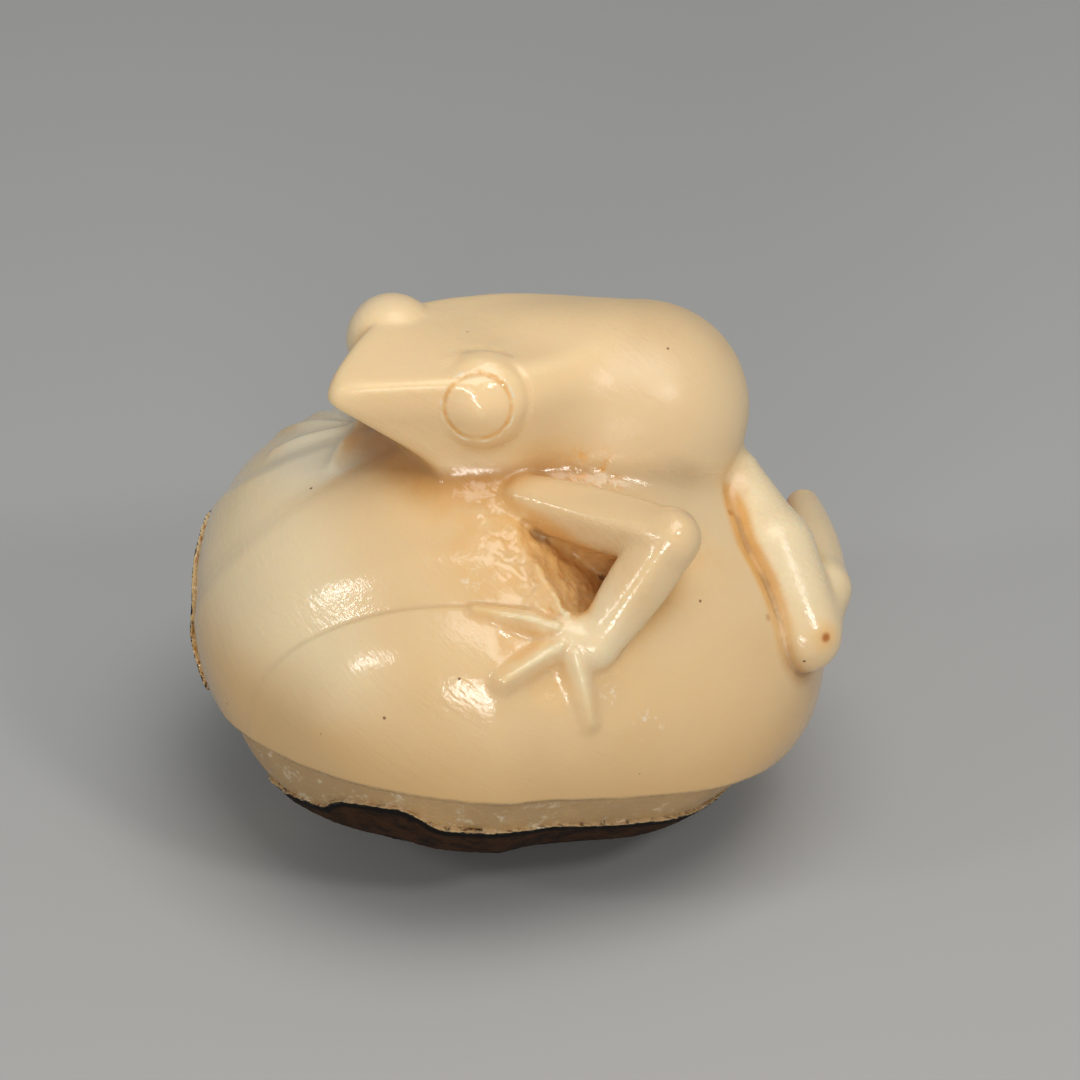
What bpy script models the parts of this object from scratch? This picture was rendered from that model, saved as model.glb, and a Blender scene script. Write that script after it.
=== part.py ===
"""A tree frog carved out of a tagua nut, as one solid."""

import math

import bpy
from mathutils import Vector

for old in list(bpy.data.objects):
    bpy.data.objects.remove(old, do_unlink=True)

# A tree frog carved in one piece out of a tagua nut, lying on the nut that it is carved from.
# X runs along the nut, with the frog's snout towards -X. Y runs across it, with the frog's left hand on
# the -Y side. Z is up, and the nut rests on Z = 0. Lengths are in millimetres until the last step.

# the nut: three ellipsoids (centre, radii), sheared towards -Y with height
NUT_LEAN = 0.13
FLAT_CENTRE = (1.5, 1.9, 0.0)       # centre of the flat spot that the nut stands on
NUT_MAIN = ((-0.2, 0.0, 15.7), (22.9, 21.2, 16.7))
NUT_REAR = ((9.2, -1.3, 13.6), (14.6, 17.2, 13.9))
NUT_FRONT = ((-9.6, 3.2, 18.7), (13.4, 15.8, 12.3))
NUT_BLEND = 3.0
REAR_FACET = ((0.55, -0.44, -0.71), (22.2, -8.0, 9.2))          # normal and point of the flat under the rear end

# folds cut in the nut: three points that the plane of each fold runs through, and the depth of its step
FOLD_CHIN = ((-7.7, -2.2, 32.2), (-15.4, -5.4, 28.9), (-22.3, -4.6, 21.7))
FOLD_CHIN_STEP = 0.3
FOLD_HAND = ((-12.3, 1.5, 30.5), (-18.6, 2.9, 26.4), (-22.9, 4.7, 22.9))
FOLD_HAND_FALL = 0.45
FOLD_FRONT = ((-1.6, -16.7, 28.0), (-11.5, -15.5, 26.0), (-19.1, -13.3, 17.1))
FOLD_FRONT_SWELL = 0.95
FRONT_RISE = 5.0                   # the width of the slope on which the front lobe rises
RIM_EDGE = ((-16.3, -15.6, 13.9), (-2.8, -21.1, 14.0), (16.3, -12.7, 10.6))
RIM_STEP = 0.85
LOW_LEFT = (-15.5, -12.0, 8.5)               # a swelling low on the nut's front end
LOW_LEFT_SWELL = 1.3
FRONT_VALLEY = 0.45                 # depth of the hollow that the lobe over the front fold rolls into

# the nut's own skin: under the plane of HUSK_EDGE, past two slanting cuts (normal, point), and a patch that reaches higher
HUSK_EDGE = ((-14.9, -13.8, 8.7), (-2.5, -19.4, 9.8), (14.7, -11.0, 6.3))
HUSK_LEFT = ((-0.8, 0.42, -0.42), (-24.12, 2.17, 19.54))
HUSK_REAR = ((0.0, 0.0, -1.0), (0.0, 0.0, 0.5))
HUSK_PATCH = (-9.62, -18.7, 11.53)
HUSK_PATCH_RISE = 1.5
HUSK_THICKNESS = 0.35

# trunk (centre, radii)
RUMP = ((10.3, 3.0, 32.6), (7.8, 8.0, 7.7))
CHEST = ((3.2, 1.6, 34.0), (8.2, 6.8, 6.7))
TRUNK_BLEND = 5.0
TRUNK_TO_NUT = 4.5

# head, in its own axes: X to the snout, Y to the frog's left, Z up
HEAD = (-5.31, -3.0, 39.62)
HEAD_YAW = 213.0
SKULL = ((-3.5, 0.0, -3.0), (12.6, 7.2, 8.2))
BROW_PLANE = ((0.13, 0.11, 1.0), (2.0, 0.0, 1.65))
NAPE_PLANE = ((-0.16, 0.0, 1.0), (0.0, 0.0, 2.0))
CHEEK_NEAR = ((0.53, 0.83, -0.10), (4.0, 3.1, -1.0))
CHEEK_FAR = ((0.53, -0.83, 0.10), (4.0, -3.6, 1.0))
JAW_PLANE = ((0.62, 0.0, -0.78), (4.2, 0.0, -4.15))
EYE_FAR_RADIUS = 3.3
EYE_RADIUS = 3.5
EYE_FLAT = 2.3                     # half depth of the near eyeball
EYE_NEAR = (-1.56, -5.85, 38.37)
EYE_NEAR_TURN = 68.0               # degrees about X: the near eye looks out and up
EYE_FAR = (0.0, -5.4, -0.5)

# left arm and hand
SHOULDER = (1.69, -8.6, 31.52)
ELBOW = (11.82, -14.7, 31.91)
WRIST = (6.92, -17.8, 25.34)
SHOULDER_RADIUS = 1.9
WRIST_RADIUS = 1.65
ARM_SWELL = 0.3
ARM_RADIUS = 2.1
FOREARM_RADIUS = 2.25
CREST_FACE = (0.0, -0.85, 0.53)    # the side on which the arm has its crest
CREST_SPREAD = 42.0
CREST_DEPTH = 1.85
PALM_RADIUS = 1.6
PALM_SINK = 0.5
HAND_HEEL = (6.2, -18.34, 24.85)
PALM = (4.7, -18.05, 25.85)
FINGERS = (                        # root, tip, half width at the root and tip, height at the root and tip
    ((4.35, -17.25, 26.86), (2.35, -14.35, 29.58), 1.7, 1.3, 1.4, 0.9),
    ((3.78, -17.87, 26.33), (-2.0, -17.17, 27.57), 1.6, 1.0, 1.5, 0.7),
    ((4.06, -18.55, 25.41), (0.0, -20.29, 23.41), 1.6, 1.5, 1.5, 1.2),
    ((4.92, -18.69, 24.91), (6.21, -20.43, 20.06), 1.6, 1.35, 1.5, 0.8),
)
HAND_DIPS = (                      # hollows cut between the fingers: middle, radius, depth
    ((0.93, -18.66, 25.91), 2.3, 0.35),
    ((3.21, -19.98, 23.37), 2.3, 0.3),
    ((1.21, -16.19, 28.38), 1.8, 0.25),
    ((7.79, -19.55, 21.35), 2.6, 0.25),
)
POCKET = (                         # the hollow inside the bent arm: left end, inner elbow, wrist
    (0.18, -10.34, 31.66),
    (9.85, -12.1, 28.67),
    (5.2, -17.29, 26.55),
)
POCKET_LOW = (3.35, -16.88, 27.47)  # with the left end, the line where its floor starts to fall
POCKET_DEPTH = 3.8

# right arm and hand
FAR_SHOULDER = (-1.0, 7.5, 34.0)
FAR_ELBOW = (2.0, 14.8, 31.0)
FAR_WRIST = (-8.16, 4.6, 32.52)
FAR_PALM = (-10.66, 2.1, 31.02)
FAR_FINGERS = (                    # as FINGERS
    ((-10.66, 2.1, 31.02), (-17.02, 8.44, 26.57), 1.5, 1.2, 0.9, 0.4),
    ((-10.66, 2.1, 31.02), (-16.97, 3.51, 27.47), 1.5, 1.3, 0.9, 0.4),
    ((-10.66, 2.1, 31.02), (-12.57, -2.43, 30.6), 1.5, 1.4, 0.9, 0.5),
    ((-10.66, 2.1, 31.02), (-14.98, 10.16, 28.58), 1.4, 1.2, 0.9, 0.4),
)

# hind legs, folded
HIP = (17.3, 0.8, 27.61)
HIP_RADIUS = 2.0
THIGH_MID = (19.78, -4.2, 24.48)
THIGH_RADIUS = 3.15
KNEE_RADIUS = 2.8
SHIN_RADIUS = 2.1
HEEL_RADIUS = 1.4
KNEE = (22.11, -8.2, 19.65)
SHIN_MID = (23.56, -4.0, 20.74)
HEEL = (23.0, 9.0, 20.03)
FAR_HIP = (14.5, 7.5, 29.0)
FAR_KNEE = (12.0, 15.5, 25.5)
FAR_HEEL = (16.5, 15.0, 18.5)
TOES = (                           # root, tip, radius at the root, radius at the tip
    ((21.0, 9.5, 19.5), (18.6, 13.5, 13.5), 1.1, 0.8),
    ((21.0, 9.5, 19.5), (16.5, 15.0, 16.5), 1.1, 0.8),
    ((21.0, 9.5, 19.5), (20.6, 10.5, 12.0), 1.1, 0.8),
    ((14.5, 16.5, 18.5), (8.0, 19.5, 18.0), 1.1, 0.8),
    ((14.5, 16.5, 18.5), (8.5, 19.3, 15.0), 1.1, 0.8),
    ((14.5, 16.5, 18.5), (10.5, 18.6, 12.5), 1.1, 0.8),
)


TREE = None
POS = None
RULES = {}
DRAFT = False


class Num:
    """A number that the surface rule works out at each point of space."""

    def __init__(self, out):
        self.out = out

    def __add__(self, other):
        return calc("ADD", self, other)

    __radd__ = __add__

    def __sub__(self, other):
        return calc("SUBTRACT", self, other)

    def __rsub__(self, other):
        return calc("SUBTRACT", other, self)

    def __mul__(self, other):
        return calc("MULTIPLY", self, other)

    __rmul__ = __mul__

    def __truediv__(self, other):
        return calc("DIVIDE", self, other)

    def __rtruediv__(self, other):
        return calc("DIVIDE", other, self)

    def __neg__(self):
        return calc("MULTIPLY", self, -1.0)


class Vec:
    """A vector that the surface rule works out at each point of space."""

    def __init__(self, node):
        self.node = node
        self.out = node.outputs[0]

    def __add__(self, other):
        return vcalc("ADD", self, other)

    def __sub__(self, other):
        return vcalc("SUBTRACT", self, other)

    def __mul__(self, other):
        return vcalc("MULTIPLY", self, other)

    def __truediv__(self, other):
        return vcalc("DIVIDE", self, other)

    def length(self):
        return Num(vcalc("LENGTH", self).node.outputs["Value"])

    def dot(self, other):
        return Num(vcalc("DOT_PRODUCT", self, other).node.outputs["Value"])


def plug(value, socket):
    if isinstance(value, (Num, Vec)):
        TREE.links.new(value.out, socket)
    else:
        socket.default_value = value


def calc(op, *args):
    node = TREE.nodes.new("ShaderNodeMath")
    node.operation = op
    for i, a in enumerate(args):
        plug(a, node.inputs[i])
    return Num(node.outputs[0])


def vcalc(op, *args):
    node = TREE.nodes.new("ShaderNodeVectorMath")
    node.operation = op
    for i, a in enumerate(args):
        plug(a, node.inputs[i])
    return Vec(node)


def rule(make):
    """Makes a function that works out a number from POS a group of its own, which is built once and can be used again."""

    def use():
        global TREE, POS
        if TREE.bl_idname != "GeometryNodeTree":
            return make()
        tree, pos = TREE, POS
        key = (make.__name__, DRAFT)
        if key not in RULES:
            TREE = RULES[key] = bpy.data.node_groups.new(make.__name__, "GeometryNodeTree")
            TREE.interface.new_socket("Place", in_out="INPUT", socket_type="NodeSocketVector")
            TREE.interface.new_socket("Value", in_out="OUTPUT", socket_type="NodeSocketFloat")
            POS = Vec(TREE.nodes.new("NodeGroupInput"))
            TREE.links.new(make().out, TREE.nodes.new("NodeGroupOutput").inputs[0])
            TREE, POS = tree, pos
        node = TREE.nodes.new("GeometryNodeGroup")
        node.node_tree = RULES[key]
        plug(POS, node.inputs[0])
        return Num(node.outputs[0])

    return use


def scaled(v, factor):
    node = TREE.nodes.new("ShaderNodeVectorMath")
    node.operation = "SCALE"
    plug(v, node.inputs[0])
    plug(factor, node.inputs["Scale"])
    return Vec(node)


def parts_of(v):
    node = TREE.nodes.new("ShaderNodeSeparateXYZ")
    plug(v, node.inputs[0])
    return [Num(o) for o in node.outputs]


def vec(x, y, z):
    node = TREE.nodes.new("ShaderNodeCombineXYZ")
    for i, a in enumerate((x, y, z)):
        plug(a, node.inputs[i])
    return Vec(node)


def local(p, centre, turn=(0.0, 0.0, 0.0)):
    """p in axes that sit at centre and are turned by the angles in degrees."""
    if any(turn):
        node = TREE.nodes.new("ShaderNodeVectorRotate")
        node.rotation_type = "EULER_XYZ"
        node.invert = True
        plug(p, node.inputs["Vector"])
        node.inputs["Center"].default_value = centre
        node.inputs["Rotation"].default_value = [math.radians(a) for a in turn]
        p = Vec(node)
    return p - tuple(centre)


def low(a, b):
    return calc("MINIMUM", a, b)


def high(a, b):
    return calc("MAXIMUM", a, b)


def join(a, b, k):
    """Both shapes together, with a fillet of about k."""
    return calc("SMOOTH_MIN", a, b, k)


def both(a, b, k):
    """Where the two shapes overlap, with the edge rounded by about k."""
    return calc("SMOOTH_MAX", a, b, k)


def cut(a, b, k):
    return both(a, -b, k)


def root(a):
    return calc("SQRT", a)


def ramp(value, start, end):
    """Rises smoothly from 0 at start to 1 at end."""
    node = TREE.nodes.new("ShaderNodeMapRange")
    node.interpolation_type = "SMOOTHSTEP"
    plug(value, node.inputs["Value"])
    node.inputs["From Min"].default_value = start
    node.inputs["From Max"].default_value = end
    return Num(node.outputs["Result"])


def ellipsoid(centre, radii, turn=(0.0, 0.0, 0.0), p=None):
    q = local(p or POS, centre, turn)
    n = q / tuple(radii)
    k0 = n.length()
    k1 = (n / tuple(radii)).length()
    return k0 * (k0 - 1.0) / (k1 + 1e-6)


def along(p, a, b):
    """The share of the way from a to b that is nearest to p, and the offset of p from there."""
    a, b = Vector(a), Vector(b)
    pa = p - tuple(a)
    ba = b - a
    t = calc("MINIMUM", calc("MAXIMUM", pa.dot(tuple(ba / ba.length_squared)), 0.0), 1.0)
    return t, pa - scaled(tuple(ba), t)


def taper(a, b, ra, rb, swell=0.0, p=None):
    """A limb from a to b with round ends, thicker by swell half way."""
    t, off = along(p or POS, a, b)
    return off.length() - (t * (rb - ra) + ra + t * (1.0 - t) * (4.0 * swell))


def half(normal, point, p=None):
    """The side of a plane that its normal points away from."""
    n = Vector(normal).normalized()
    return (p or POS).dot(tuple(n)) - n.dot(Vector(point))


def side(points):
    """The distance above the plane through three points."""
    a, b, c = [Vector(v) for v in points]
    n = (b - a).cross(c - a).normalized()
    if n.z < 0:
        n = -n
    return half(n, a)


def nut_normal(point):
    n = Vector(point) - Vector(NUT_MAIN[0])
    return Vector([n[i] / NUT_MAIN[1][i] ** 2 for i in range(3)]).normalized()


def on_surface(base, a, b, ra, rb, lift):
    """A ridge that lies on the surface base from a to b."""
    middle = (Vector(a) + Vector(b)) / 2
    n = nut_normal(middle)
    flat = POS - scaled(tuple(n), POS.dot(tuple(n)))
    a = Vector(a) - n * n.dot(Vector(a))
    b = Vector(b) - n * n.dot(Vector(b))
    t, off = along(flat, a, b)
    d = off.length()
    e = base - lift
    ridge = root(d * d + e * e) - (t * (rb - ra) + ra)
    return high(ridge, half(-n, middle - n * 5))


def crested(a, b, ra, rb):
    """A limb whose outer side rises to a soft crest."""
    a, b = Vector(a), Vector(b)
    d = (b - a).normalized()
    face = Vector(CREST_FACE)
    face = (face - d * face.dot(d)).normalized()
    across = d.cross(face)
    shape = taper(a, b, ra, rb, ARM_SWELL)
    for way in (1, -1):
        n = face * math.cos(math.radians(CREST_SPREAD)) + across * (math.sin(math.radians(CREST_SPREAD)) * way)
        shape = both(shape, half(n, (a + b) / 2 + n * CREST_DEPTH), 1.2)
    return shape


def size_of(a):
    return calc("ABSOLUTE", a)


def line_at(distance, width):
    """1 on the line where distance is 0, falling to 0 at half the width from it."""
    return ramp(size_of(distance), width / 2, 0.0)


def near_point(point, start, end):
    """Rises from 0 at the distance start from a point to 1 at the distance end."""
    return ramp((POS - tuple(point)).length(), start, end)


@rule
def husk_side():
    """Above 0 where the nut still has its skin."""
    below = -side(HUSK_EDGE) + near_point(HUSK_PATCH, 5.5, 2.0) * HUSK_PATCH_RISE
    below = high(below, high(half(*HUSK_LEFT), half(*HUSK_REAR)))
    return below


@rule
def nut_field():
    x, y, z = parts_of(POS)
    leaning = vec(x, y + (z - 16.0) * NUT_LEAN, z)
    nut = join(ellipsoid(*NUT_MAIN, p=leaning), ellipsoid(*NUT_REAR, p=leaning), NUT_BLEND)
    nut = join(nut, ellipsoid(*NUT_FRONT, p=leaning), NUT_BLEND)
    nut = both(nut, half(*REAR_FACET), 2.5)
    nut = nut - near_point(LOW_LEFT, 10.0, 0.0) * LOW_LEFT_SWELL
    chin, hand, front, rim = side(FOLD_CHIN), side(FOLD_HAND), side(FOLD_FRONT), side(RIM_EDGE)
    left_of = ramp(-x, -4.0, 1.0)
    nut = join(nut, both(nut - FOLD_CHIN_STEP, -chin, 0.5), 0.3)
    nut = nut + ramp(hand, -0.6, 0.6) * FOLD_HAND_FALL
    swell = ramp(-front, -0.3, FRONT_RISE) - ramp(-front, 7.0, 15.0)
    valley = ramp(front, 3.2, 0.0) * ramp(front, -0.6, 0.2)
    fading = left_of * (ramp(x, -19.5, -11.0) * 0.85 + 0.15)
    nut = nut + fading * (valley * FRONT_VALLEY - swell * FOLD_FRONT_SWELL)
    lower = nut + RIM_STEP
    nut = join(lower, both(nut, -rim, 0.15), 0.1)
    skin = nut - HUSK_THICKNESS
    return low(nut, both(skin, -husk_side(), 0.08))


@rule
def head_field():
    h = local(POS, HEAD, (0.0, 0.0, HEAD_YAW))
    top = both(half(*BROW_PLANE, p=h), half(*NAPE_PLANE, p=h), 1.5)
    cheeks = both(half(*CHEEK_NEAR, p=h), half(*CHEEK_FAR, p=h), 1.5)
    wedge = both(cheeks, both(top, half(*JAW_PLANE, p=h), 0.8), 1.2)
    return both(wedge, ellipsoid(*SKULL, p=h), 1.5)


@rule
def near_eye_field():
    return ellipsoid(EYE_NEAR, (EYE_RADIUS, EYE_RADIUS, EYE_FLAT), (EYE_NEAR_TURN, 0.0, 0.0))


@rule
def far_eye_field():
    return ellipsoid(EYE_FAR, (EYE_FAR_RADIUS,) * 3, p=local(POS, HEAD, (0.0, 0.0, HEAD_YAW)))


@rule
def trunk_field():
    return join(ellipsoid(*RUMP), ellipsoid(*CHEST), TRUNK_BLEND)


@rule
def pocket_field():
    """The hollow inside the bent arm: its floor falls from the left, and the arm overhangs its other two sides."""
    a, b, c = [Vector(v) for v in POCKET]
    n = (b - a).cross(c - a).normalized()
    if n.y > 0:
        n = -n
    centre = (a + b + c) / 3
    deep = (b + centre) / 2 - n * POCKET_DEPTH
    floor = (deep - a).cross(Vector(POCKET_LOW) - a).normalized()
    if floor.y > 0:
        floor = -floor
    pocket = half(-floor, a)
    for p0, p1 in ((a, b), (b, c)):
        m = (p1 - p0).cross(n).normalized()
        if m.dot(centre - p0) > 0:
            m = -m
        pocket = both(pocket, half(m, p0), 1.0)
    return pocket


def ridge(a, b, wide_a, wide_b, high_a, high_b):
    """The height of a low ridge on the nut from a to b, with hollow flanks."""
    middle = (Vector(a) + Vector(b)) / 2
    n = nut_normal(middle)
    flat = POS - scaled(tuple(n), POS.dot(tuple(n)))
    a = Vector(a) - n * n.dot(Vector(a))
    b = Vector(b) - n * n.dot(Vector(b))
    t, off = along(flat, a, b)
    inside = high(1.0 - root(off.dot(off) + 0.04) / (t * (wide_b - wide_a) + wide_a), 0.0)
    height = calc("POWER", inside, 1.35) * (t * (high_b - high_a) + high_a)
    return height * ramp(half(n, middle - n * 6), 0.0, 0.5)


@rule
def arm_field():
    upper = crested(SHOULDER, ELBOW, SHOULDER_RADIUS, ARM_RADIUS)
    return join(upper, crested(ELBOW, WRIST, FOREARM_RADIUS, WRIST_RADIUS), 0.8)


@rule
def leg_field():
    shin = join(taper(KNEE, SHIN_MID, KNEE_RADIUS, SHIN_RADIUS), taper(SHIN_MID, HEEL, SHIN_RADIUS, HEEL_RADIUS, 0.4), 1.5)
    thigh = join(taper(HIP, THIGH_MID, HIP_RADIUS, THIGH_RADIUS), taper(THIGH_MID, KNEE, THIGH_RADIUS, KNEE_RADIUS, 0.15), 1.0)
    return join(thigh, shin, 0.7)


@rule
def far_leg_field():
    return join(taper(FAR_HIP, FAR_KNEE, 2.2, 1.8, 0.9), taper(FAR_KNEE, FAR_HEEL, 1.7, 1.4, 0.6), 0.3)


@rule
def fingers_height():
    fingers = None
    for finger in FINGERS + FAR_FINGERS:
        height = ridge(*finger)
        fingers = height if fingers is None else both(fingers, height, 0.25)
    return fingers


@rule
def dips_depth():
    depth = None
    for point, radius, deep in HAND_DIPS:
        one = near_point(point, radius, 0.0) * deep
        depth = one if depth is None else depth + one
    return depth


@rule
def near_arm_field():
    hand = on_surface(nut_field(), HAND_HEEL, PALM, WRIST_RADIUS, PALM_RADIUS, -PALM_SINK)
    return join(arm_field(), hand, 2.0)


@rule
def far_arm_field():
    far_arm = join(taper(FAR_SHOULDER, FAR_ELBOW, 2.2, 2.1), taper(FAR_ELBOW, FAR_WRIST, 2.1, 1.6), 0.6)
    nut = nut_field()
    far_hand = on_surface(nut, FAR_WRIST, FAR_PALM, 1.7, 1.3, -0.5)
    return join(far_arm, far_hand, 0.6)


@rule
def toes_field():
    nut = nut_field()
    toes = None
    for start, tip, ra, rb in TOES:
        toe = on_surface(nut, start, tip, ra, rb, 0.1)
        toes = toe if toes is None else join(toes, toe, 0.5)
    return toes


@rule
def carving_field():
    z = parts_of(POS)[2]
    legs = low(leg_field(), far_leg_field())
    nut = nut_field()
    head = join(join(head_field(), near_eye_field(), 0.6), far_eye_field(), 0.4)
    frog = join(trunk_field(), head, 3.0)
    pocket = pocket_field()
    body = cut(join(nut, frog, TRUNK_TO_NUT), pocket, 2.0)
    body = body + dips_depth() - fingers_height()
    body = join(body, near_arm_field(), 0.6)
    body = join(body, far_arm_field(), 0.4)
    body = join(body, legs, near_point(HIP, 6.0, 2.0) * 1.6 + 0.3)
    body = join(body, toes_field(), 0.3)
    return high(body, -z)


# mesh
BOX_LOW = (-27.0, -25.0, -1.2)
BOX_HIGH = (30.0, 25.0, 45.0)
PITCH = 0.4                        # spacing of the samples the surface is drawn from
FACES = 7600
FLAT_BAND = 0.05                   # what lies this close to the ground plane is put on it
COLOUR = (0.74, 0.54, 0.30)
ROUGHNESS = 0.32


def new_tree(name):
    global TREE, POS
    TREE = bpy.data.node_groups.new(name, "GeometryNodeTree")
    TREE.interface.new_socket("Geometry", in_out="INPUT", socket_type="NodeSocketGeometry")
    TREE.interface.new_socket("Geometry", in_out="OUTPUT", socket_type="NodeSocketGeometry")
    POS = Vec(TREE.nodes.new("GeometryNodeInputPosition"))
    return TREE


def end_tree(geometry):
    TREE.links.new(geometry, TREE.nodes.new("NodeGroupOutput").inputs[0])


def moved(geometry, offset):
    node = TREE.nodes.new("GeometryNodeSetPosition")
    TREE.links.new(geometry, node.inputs["Geometry"])
    plug(offset, node.inputs["Offset"])
    return node.outputs[0]


def settled(geometry, field, times):
    """Brings each vertex onto the surface."""
    for _ in range(times):
        normal = Vec(TREE.nodes.new("GeometryNodeInputNormal"))
        geometry = moved(geometry, scaled(normal, low(high(field * -0.9, -0.25), 0.25)))
    return geometry


def drawn_tree():
    tree = new_tree("carving_drawn")
    field = carving_field()
    cube = tree.nodes.new("GeometryNodeVolumeCube")
    plug(-field, cube.inputs["Density"])
    cube.inputs["Background"].default_value = -5.0
    cube.inputs["Min"].default_value = BOX_LOW
    cube.inputs["Max"].default_value = BOX_HIGH
    for axis, a, b in zip("XYZ", BOX_LOW, BOX_HIGH):
        cube.inputs["Resolution " + axis].default_value = round((b - a) / PITCH) + 1
    skin = tree.nodes.new("GeometryNodeVolumeToMesh")
    skin.resolution_mode = "GRID"
    tree.links.new(cube.outputs[0], skin.inputs["Volume"])
    skin.inputs["Threshold"].default_value = 0.0
    skin.inputs["Adaptivity"].default_value = 0.0
    end_tree(settled(skin.outputs[0], field, 2))
    return tree


def finished_tree():
    """Settles the reduced mesh again, puts the underside on the ground plane and turns millimetres into metres."""
    tree = new_tree("carving_finished")
    skin = settled(tree.nodes.new("NodeGroupInput").outputs[0], carving_field(), 1)
    x, y, z = parts_of(POS)
    near = calc("LESS_THAN", z, FLAT_BAND)
    skin = moved(skin, vec(0.0, 0.0, near * z * -1.0))
    skin = moved(skin, tuple(-c for c in FLAT_CENTRE))
    scale = tree.nodes.new("GeometryNodeTransform")
    tree.links.new(skin, scale.inputs["Geometry"])
    scale.inputs["Scale"].default_value = (0.001, 0.001, 0.001)
    end_tree(scale.outputs[0])
    return tree


def evaluated(obj):
    return bpy.data.meshes.new_from_object(obj.evaluated_get(bpy.context.evaluated_depsgraph_get()))


def with_modifier(obj, kind):
    bpy.context.scene.collection.objects.link(obj)
    mod = obj.modifiers.new(kind.lower(), kind)
    return mod


def build():
    start = bpy.data.objects.new("carving_start", bpy.data.meshes.new("carving_start"))
    with_modifier(start, "NODES").node_group = drawn_tree()
    dense = evaluated(start)
    bpy.data.objects.remove(start, do_unlink=True)

    middle = bpy.data.objects.new("carving_middle", dense)
    cut_down = with_modifier(middle, "DECIMATE")
    triangles = sum(len(p.vertices) - 2 for p in dense.polygons)
    cut_down.ratio = FACES / triangles
    cut_down.use_collapse_triangulate = True
    last = middle.modifiers.new("finish", "NODES")
    last.node_group = finished_tree()
    mesh = evaluated(middle)
    bpy.data.objects.remove(middle, do_unlink=True)

    mesh.name = "carving"
    carving = bpy.data.objects.new("carving", mesh)
    bpy.context.scene.collection.objects.link(carving)
    material = bpy.data.materials.new("carving")
    material.use_nodes = True
    shader = material.node_tree.nodes["Principled BSDF"]
    shader.inputs["Base Color"].default_value = (*COLOUR, 1.0)
    shader.inputs["Roughness"].default_value = ROUGHNESS
    shader.inputs["Metallic"].default_value = 0.0
    mesh.materials.clear()
    mesh.materials.append(material)
    for group in list(bpy.data.node_groups):
        bpy.data.node_groups.remove(group)
    for spare in [m for m in bpy.data.meshes if not m.users]:
        bpy.data.meshes.remove(spare)
    return carving


build()
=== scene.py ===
"""A tree frog carved out of a tagua nut: the finish of its surface, light, floor and camera."""

import math

import bpy
from mathutils import Matrix, Quaternion, Vector


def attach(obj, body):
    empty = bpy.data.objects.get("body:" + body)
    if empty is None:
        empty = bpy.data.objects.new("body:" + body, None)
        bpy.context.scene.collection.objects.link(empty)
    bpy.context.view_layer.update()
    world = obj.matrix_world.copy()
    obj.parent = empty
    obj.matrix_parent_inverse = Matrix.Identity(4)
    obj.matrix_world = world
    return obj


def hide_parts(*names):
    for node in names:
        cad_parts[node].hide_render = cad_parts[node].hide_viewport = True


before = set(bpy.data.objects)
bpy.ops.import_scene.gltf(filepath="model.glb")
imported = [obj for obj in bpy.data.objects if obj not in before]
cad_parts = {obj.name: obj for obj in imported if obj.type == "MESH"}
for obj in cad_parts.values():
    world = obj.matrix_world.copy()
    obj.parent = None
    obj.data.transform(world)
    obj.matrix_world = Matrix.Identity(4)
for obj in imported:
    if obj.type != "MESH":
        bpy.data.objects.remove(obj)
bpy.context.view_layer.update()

# A tree frog carved in one piece out of a tagua nut, lying on the nut that it is carved from.
# X runs along the nut, with the frog's snout towards -X. Y runs across it, with the frog's left hand on
# the -Y side. Z is up, and the nut rests on Z = 0. Lengths are in millimetres until the last step.

# the nut: three ellipsoids (centre, radii), sheared towards -Y with height
NUT_LEAN = 0.13
FLAT_CENTRE = (1.5, 1.9, 0.0)       # centre of the flat spot that the nut stands on
NUT_MAIN = ((-0.2, 0.0, 15.7), (22.9, 21.2, 16.7))
NUT_REAR = ((9.2, -1.3, 13.6), (14.6, 17.2, 13.9))
NUT_FRONT = ((-9.6, 3.2, 18.7), (13.4, 15.8, 12.3))
NUT_BLEND = 3.0
REAR_FACET = ((0.55, -0.44, -0.71), (22.2, -8.0, 9.2))          # normal and point of the flat under the rear end

# folds cut in the nut: three points that the plane of each fold runs through, and the depth of its step
FOLD_CHIN = ((-7.7, -2.2, 32.2), (-15.4, -5.4, 28.9), (-22.3, -4.6, 21.7))
FOLD_CHIN_STEP = 0.3
FOLD_HAND = ((-12.3, 1.5, 30.5), (-18.6, 2.9, 26.4), (-22.9, 4.7, 22.9))
FOLD_HAND_FALL = 0.45
FOLD_FRONT = ((-1.6, -16.7, 28.0), (-11.5, -15.5, 26.0), (-19.1, -13.3, 17.1))
FOLD_FRONT_SWELL = 0.95
FRONT_RISE = 5.0                   # the width of the slope on which the front lobe rises
RIM_EDGE = ((-16.3, -15.6, 13.9), (-2.8, -21.1, 14.0), (16.3, -12.7, 10.6))
RIM_STEP = 0.85
LOW_LEFT = (-15.5, -12.0, 8.5)               # a swelling low on the nut's front end
LOW_LEFT_SWELL = 1.3
FRONT_VALLEY = 0.45                 # depth of the hollow that the lobe over the front fold rolls into

# the nut's own skin: under the plane of HUSK_EDGE, past two slanting cuts (normal, point), and a patch that reaches higher
HUSK_EDGE = ((-14.9, -13.8, 8.7), (-2.5, -19.4, 9.8), (14.7, -11.0, 6.3))
HUSK_LEFT = ((-0.8, 0.42, -0.42), (-24.12, 2.17, 19.54))
HUSK_REAR = ((0.0, 0.0, -1.0), (0.0, 0.0, 0.5))
HUSK_PATCH = (-9.62, -18.7, 11.53)
HUSK_PATCH_RISE = 1.5
HUSK_THICKNESS = 0.35

# trunk (centre, radii)
RUMP = ((10.3, 3.0, 32.6), (7.8, 8.0, 7.7))
CHEST = ((3.2, 1.6, 34.0), (8.2, 6.8, 6.7))
TRUNK_BLEND = 5.0
TRUNK_TO_NUT = 4.5

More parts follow.
